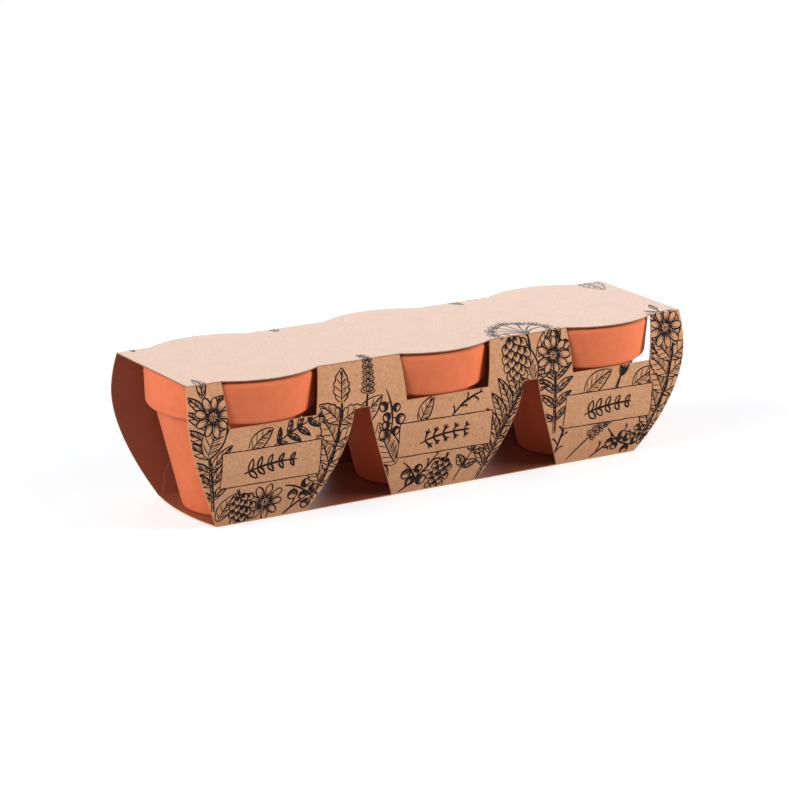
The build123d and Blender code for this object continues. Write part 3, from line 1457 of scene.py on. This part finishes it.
@dataclass
class SeedSachet:
    """A flat paper packet with crimped seams, plump with seed in the middle.

    Its heights are shares of half its thickness.
    """

    number: int
    seam: float = 2.5
    shoulder: float = 6.0
    seam_height: float = 0.12
    middle_rise: float = 0.8
    crimp_height: float = 0.06
    crimp_pace: float = 150.0
    columns: int = 44
    rows: int = 56

    def build(self, material: bpy.types.Material) -> bpy.types.Object:
        """Fold the packet where its node lies.

        Args:
            material: The paper.

        Returns:
            The packet, riding with its pot.
        """
        node = f"seed_sachet_{self.number}"
        low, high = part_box(node)
        size, middle = high - low, (low.z + high.z) / 2
        vertices: list[Place] = []
        for layer in (1, -1):
            for j in range(self.rows + 1):
                for i in range(self.columns + 1):
                    u, v = i / self.columns, j / self.rows
                    inset = min(min(u, 1 - u) * size.x / MM, min(v, 1 - v) * size.y / MM)
                    rise = layer * 0.5 * size.z * self._height(u, inset)
                    vertices.append((low.x + u * size.x, low.y + v * size.y, middle + rise))
        stride = self.columns + 1
        sheet = stride * (self.rows + 1)
        faces: list[tuple[int, ...]] = []
        for j in range(self.rows):
            for a in range(j * stride, j * stride + self.columns):
                b, c, d = a + 1, a + 1 + stride, a + stride
                faces.append((a, b, c, d))
                faces.append((sheet + a, sheet + d, sheet + c, sheet + b))
        rim = [
            *range(stride),
            *(j * stride + self.columns for j in range(1, self.rows + 1)),
            *(self.rows * stride + i for i in range(self.columns - 1, -1, -1)),
            *(j * stride for j in range(self.rows - 1, 0, -1)),
        ]
        for a, b in zip(rim, rim[1:] + rim[:1]):
            faces.append((a, sheet + a, sheet + b, b))
        piece = make_object(f"paper_sachet_{self.number}", vertices, faces, material)
        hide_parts(node)
        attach(piece, f"pot_{self.number}")
        return piece

    def _height(self, share: float, inset: float) -> float:
        """The height of one place on the packet.

        Args:
            share: How far across the packet it is, from 0 to 1.
            inset: How far it is from the nearest edge, in millimetres.

        Returns:
            Its share of half the packet's thickness.
        """
        fullness = min(1.0, max(0.0, (inset - self.seam) / self.shoulder))
        crimp = self.crimp_height * math.sin(share * self.crimp_pace) if inset < self.seam else 0.0
        return self.seam_height + self.middle_rise * math.sin(fullness * math.pi / 2) + crimp


@dataclass
class CardSleeve:
    """The folded sleeve: the CAD panels in kraft card, and the print on its front and back.

    The cut edges of the top and of the glue tabs are painted darker than the others, as painted
    shade.
    """

    card: KraftCard = field(default_factory=KraftCard)
    # Painted shade: darker cut edges on the top, which face down, and on the glue tabs inside the
    # sleeve.
    top_card_shaded_edges: KraftCard = field(default_factory=lambda: KraftCard(cut_edge="#8A5A3E", sheen=0.3))
    tab_card_shaded_edges: KraftCard = field(default_factory=lambda: KraftCard(cut_edge="#4A1D12"))
    ink: PrintingInk = field(default_factory=PrintingInk)
    bow_centre_y: float = -55.67
    bow_centre_z: float = 38.4

    def dress(self, nodes: dict[str, bpy.types.Object]) -> None:
        """Give the card panels their finish.

        Args:
            nodes: The CAD nodes by name.
        """
        up, down = (0.0, 0.0, 1.0), (0.0, 0.0, -1.0)
        back = (0.0, self.bow_centre_y * MM, self.bow_centre_z * MM)
        front = (0.0, -self.bow_centre_y * MM, self.bow_centre_z * MM)
        for name, card, outward, bow_axis in (
            ("top_panel", self.top_card_shaded_edges, up, None),
            ("base_panel", self.card, down, None),
            ("front_panel", self.card, up, front),
            ("back_panel", self.card, up, back),
            ("glue_tabs", self.tab_card_shaded_edges, up, back),
        ):
            finish = replace(card, outward=outward, bow_axis=bow_axis)
            self._assign(nodes[name], finish.build(f"uncoated_kraft_{name}"))

    def _assign(self, node: bpy.types.Object, material: bpy.types.Material) -> None:
        """Put one material in every slot of a CAD node."""
        if not node.data.materials:
            node.data.materials.append(material)
        for i in range(len(node.data.materials)):
            node.data.materials[i] = material

    def print_sides(self, nodes: dict[str, bpy.types.Object]) -> None:
        """Lay the print on the front and the back.

        Args:
            nodes: The CAD nodes by name.
        """
        ink = self.ink.build("offset_ink")
        front = CardPrint("front_print", PanelSide.FRONT, 11, FRONT_PLANTS, FRONT_LABELS)
        back = CardPrint("back_print", PanelSide.BACK, 29, BACK_PLANTS)
        for panel, sheet in (("front_panel", front), ("back_panel", back)):
            surface = CardSurface(sheet.side, nodes[panel], nodes["top_panel"])
            piece = sheet.build(surface, ink)
            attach(piece, "sleeve")
            log.info("%s: %d strips of ink", sheet.name, sheet.strips)


FRONT_LABELS = (
    (-WINDOW_PITCH, Motif.LEAFY_SPRIG),
    (0.0, Motif.NEEDLE_TWIG),
    (WINDOW_PITCH, Motif.BROAD_LEAF),
)

FRONT_PLANTS = tuple(
    Placement(*row)
    for row in (
        # Left end and under the first window
        (Motif.DAISY, -114, 50, 0, 8.5),
        (Motif.BROAD_LEAF, -117, 33, 62, 21, 0.12),
        (Motif.LEAFY_SPRIG, -111, 8, 98, 50, 0.06),
        (Motif.CONE, -101, 17, -72, 17, 0.1),
        (Motif.DAISY, -86.5, 8.6, 0, 8.6),
        (Motif.TOOTHED_SPRIG, -65, 5, 74, 44, -0.1),
        (Motif.BERRY_SPRAY, -78, 15, -30, 18, 0.2),
        (Motif.BROAD_LEAF, -97, 33, 38, 14, 0.1),
        (Motif.LEAFY_SPRIG, -88, 32, 26, 26, 0.1),
        (Motif.BROAD_LEAF, -108, 3, 62, 14, 0.1),
        (Motif.NEEDLE_TWIG, -76, 1, 34, 16, 0.1),
        # Between the first and second windows
        (Motif.SEED_SPIKE, -44, 34, 82, 34, -0.1),
        (Motif.BROAD_LEAF, -45, 36, 44, 17, 0.12),
        (Motif.BERRY_SPRAY, -31, 50, -86, 22, 0.2),
        (Motif.BROAD_LEAF, -24, 16, 118, 23, 0.1),
        (Motif.BROAD_LEAF, -27, 9, 128, 14, 0.1),
        # Round the second frame
        (Motif.BROAD_LEAF, -14, 33, 58, 13, 0.1),
        (Motif.NEEDLE_TWIG, 1, 32, 32, 20, 0.2),
        (Motif.CONE, 3, 17, -104, 16, -0.08),
        (Motif.TOOTHED_SPRIG, 9, 2, 62, 22, 0.1),
        (Motif.NEEDLE_TWIG, -19, 1, 46, 24, -0.1),
        (Motif.BERRY_SPRAY, -20, 16, -52, 15, 0.15),
        # Between the second and third windows
        (Motif.CONE, 33, 67, -82, 20, 0.1),
        (Motif.DAISY, 55, 53, 0, 8.6),
        (Motif.BROAD_LEAF, 45, 42, 104, 20, 0.14),
        (Motif.LEAFY_SPRIG, 21, 1, 64, 58, 0.1),
        (Motif.BERRY_SPRAY, 60, 67, -110, 18, 0.2),
        (Motif.UMBEL, 42, 38, 92, 40, -0.08),
        (Motif.LEAFY_SPRIG, 58, 17, 92, 38, 0.08),
        (Motif.NEEDLE_TWIG, 61, 1, 80, 24, 0.1),
        # Round the third frame and on the right end
        (Motif.BUD, 88, 31, 64, 17, 0.1),
        (Motif.BROAD_LEAF, 72, 33, 34, 17, 0.12),
        (Motif.SEED_SPIKE, 69, 2, 42, 28, 0.1),
        (Motif.BERRY_SPRAY, 88, 15, -34, 20, -0.2),
        (Motif.DAISY, 116, 57, 0, 8.8),
        (Motif.TOOTHED_SPRIG, 107, 6, 74, 46, -0.08),
        (Motif.CONE, 108, 19, -98, 14, 0.1),
        (Motif.LEAFY_SPRIG, 112, 34, 84, 34, 0.1),
        (Motif.NEEDLE_TWIG, 82, 1, 30, 22, 0.1),
        (Motif.BROAD_LEAF, 98, 34, 24, 15, 0.1),
    )
)

BACK_PLANTS = tuple(
    Placement(*row)
    for row in (
        (Motif.TOOTHED_SPRIG, -106, 2, 100, 58, 0.08),
        (Motif.DAISY, -90, 23, 0, 10.5),
        (Motif.CONE, -106, 30, -84, 19, 0.1),
        (Motif.BERRY_SPRAY, -88, 12, -30, 20, 0.2),
        (Motif.LEAFY_SPRIG, -102, 33, 14, 34, 0.1),
        (Motif.UMBEL, -70, 4, 74, 56, -0.06),
        (Motif.BROAD_LEAF, -104, 3, 36, 18, 0.12),
        (Motif.SEED_SPIKE, -38, 36, 84, 26, 0.1),
        (Motif.BUD, -52, 40, 96, 22, 0.1),
        (Motif.LEAFY_SPRIG, -16, 2, 112, 58, -0.08),
        (Motif.BUD, 0, 4, 88, 37, 0.06),
        (Motif.BERRY_SPRAY, -10, 38, -70, 22, 0.15),
        (Motif.NEEDLE_TWIG, 14, 2, 62, 40, 0.1),
        (Motif.BROAD_LEAF, 6, 6, 42, 18, 0.1),
        (Motif.CONE, 12, 39, -78, 18, 0.1),
        (Motif.DAISY, 33, 50, 0, 9.0),
        (Motif.TOOTHED_SPRIG, 52, 34, 96, 26, 0.08),
        (Motif.UMBEL, 64, 6, 104, 54, 0.05),
        (Motif.DAISY, 78, 34, 0, 9.0),
        (Motif.TOOTHED_SPRIG, 84, 2, 62, 44, 0.1),
        (Motif.BERRY_SPRAY, 70, 16, -40, 18, 0.2),
        (Motif.SEED_SPIKE, 101, 16, 74, 42, -0.1),
        (Motif.BROAD_LEAF, 98, 35, 30, 16, 0.1),
        (Motif.LEAFY_SPRIG, 118, 24, 92, 34, 0.1),
    )
)


# Studio


@dataclass
class Studio:
    """A white sweep, soft lamps and a camera at the photograph's angle."""

    camera_place: Place = (-767.54, -1127.67, 434.67)
    camera_azimuth: float = -34.156
    camera_elevation: float = 16.42
    camera_roll: float = 1.47
    focal_length: float = 149.53
    film_width: float = 36.0
    sight_metres: float = 20.0
    floor_half: float = 1100.0
    floor_paint: str = "#CBCED2"
    floor_lift: float = 0.6
    light: str = "#FFFFFF"
    world_strength: float = 0.15
    lamp_aim: Place = (0.0, 0.0, 30.0)

    def build(self) -> None:
        """Build the whole studio."""
        self._floor()
        self._world()
        self._lamp("left_softbox", (-1480, -40, 680), 1.1, 23.0)
        self._lamp("front_right_softbox", (1300, -900, 480), 1.0, 27.5)
        self._lamp("rear_softbox", (1000, 1500, 520), 1.4, 12.5, mirrored=True)
        self._camera()

    def _floor(self) -> None:
        """Lay the pale floor, which keeps the object's shadow and looks white to the camera."""
        material, tree, surface = new_material("matt_white_sweep")
        camera = add_node(tree, "LightPath").outputs["Is Camera Ray"]
        paint = add_node(tree, "BsdfDiffuse", {"Color": linear(self.floor_paint)})
        lift = add_node(tree, "Math", {0: camera, 1: self.floor_lift}, operation="MULTIPLY")
        inputs = {"Color": linear(self.light), "Strength": lift.outputs[0]}
        glow = add_node(tree, "Emission", inputs)
        both = add_node(tree, "AddShader", {0: paint.outputs[0], 1: glow.outputs[0]})
        tree.links.new(both.outputs[0], surface)
        half = self.floor_half * MM
        corners = [(-half, -half, 0.0), (half, -half, 0.0), (half, half, 0.0), (-half, half, 0.0)]
        floor = make_object("studio_floor", corners, [(0, 1, 2, 3)], material, smooth=False)

    def _world(self) -> None:
        """Light the scene evenly, and show white to the camera, to gloss and through gaps."""
        world = bpy.data.worlds.new("studio_world")
        bpy.context.scene.world = world
        world.use_nodes = True
        tree = world.node_tree
        tree.nodes.clear()
        path = add_node(tree, "LightPath")
        seen = path.outputs["Is Camera Ray"]
        for ray in ("Is Glossy Ray", "Is Transmission Ray"):
            inputs = {0: seen, 1: path.outputs[ray]}
            seen = add_node(tree, "Math", inputs, operation="MAXIMUM").outputs[0]
        inputs = {"Value": seen, "To Min": self.world_strength, "To Max": 1.0}
        strength = add_node(tree, "MapRange", inputs).outputs[0]
        sky = add_node(tree, "Background", {"Color": linear(self.light), "Strength": strength})
        output = add_node(tree, "OutputWorld")
        tree.links.new(sky.outputs[0], output.inputs["Surface"])

    def _lamp(
        self, name: str, place: Place, size: float, watts: float, mirrored: bool = False
    ) -> None:
        """Hang a square softbox that faces the object.

        Gloss shows the even white room. Only the rear lamp adds a sheen of its own, on the top.

        Args:
            name: The lamp's name.
            place: Its middle, in millimetres.
            size: Its side, in metres.
            watts: Its power.
            mirrored: Whether its light shows in gloss too.
        """
        lamp = bpy.data.lights.new(name, "AREA")
        lamp.size = size
        lamp.energy = watts
        holder = bpy.data.objects.new(name, lamp)
        holder.visible_glossy = mirrored
        holder.location = Vector(place) * MM
        towards = Vector(self.lamp_aim) * MM - holder.location
        holder.rotation_euler = towards.to_track_quat("-Z", "Y").to_euler()
        bpy.context.scene.collection.objects.link(holder)

    def _camera(self) -> None:
        """Stand the camera where the photograph was taken."""
        azimuth, elevation, roll = (
            math.radians(angle)
            for angle in (self.camera_azimuth, self.camera_elevation, self.camera_roll)
        )
        level = Vector((math.cos(azimuth), math.sin(azimuth), 0.0))
        forward = Vector((-level.y, level.x, 0.0)) * math.cos(elevation)
        forward.z = -math.sin(elevation)
        right = level * math.cos(roll) + level.cross(forward) * math.sin(roll)
        up = right.cross(forward)
        lens = bpy.data.cameras.new("photo_camera")
        lens.lens = self.focal_length
        lens.sensor_width = self.film_width
        lens.clip_end = self.sight_metres
        camera = bpy.data.objects.new("photo_camera", lens)
        turn = Matrix((right, up, -forward)).transposed().to_4x4()
        camera.matrix_world = Matrix.Translation(Vector(self.camera_place) * MM) @ turn
        bpy.context.scene.collection.objects.link(camera)
        bpy.context.scene.camera = camera


def main() -> None:
    """Build the planter's looks in order, and report each piece."""
    logging.basicConfig(level=logging.INFO, format="%(message)s")
    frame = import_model()
    bpy.context.scene.view_settings.view_transform = "Standard"
    sleeve = CardSleeve()
    sleeve.dress(frame["nodes"])
    log.info("dressed the card sleeve")
    sleeve.print_sides(frame["nodes"])
    clay = Terracotta().build("pressed_terracotta")
    coir = PressedCoir().build("pressed_coir")
    paper = SachetPaper().build("glazed_sachet_paper")
    for number in (1, 2, 3):
        for kind, material in ((PlantPot, clay), (CoirDisc, coir), (SeedSachet, paper)):
            log.info("built %s", kind(number).build(material).name)
    Studio().build()


if __name__ == "__main__":
    main()
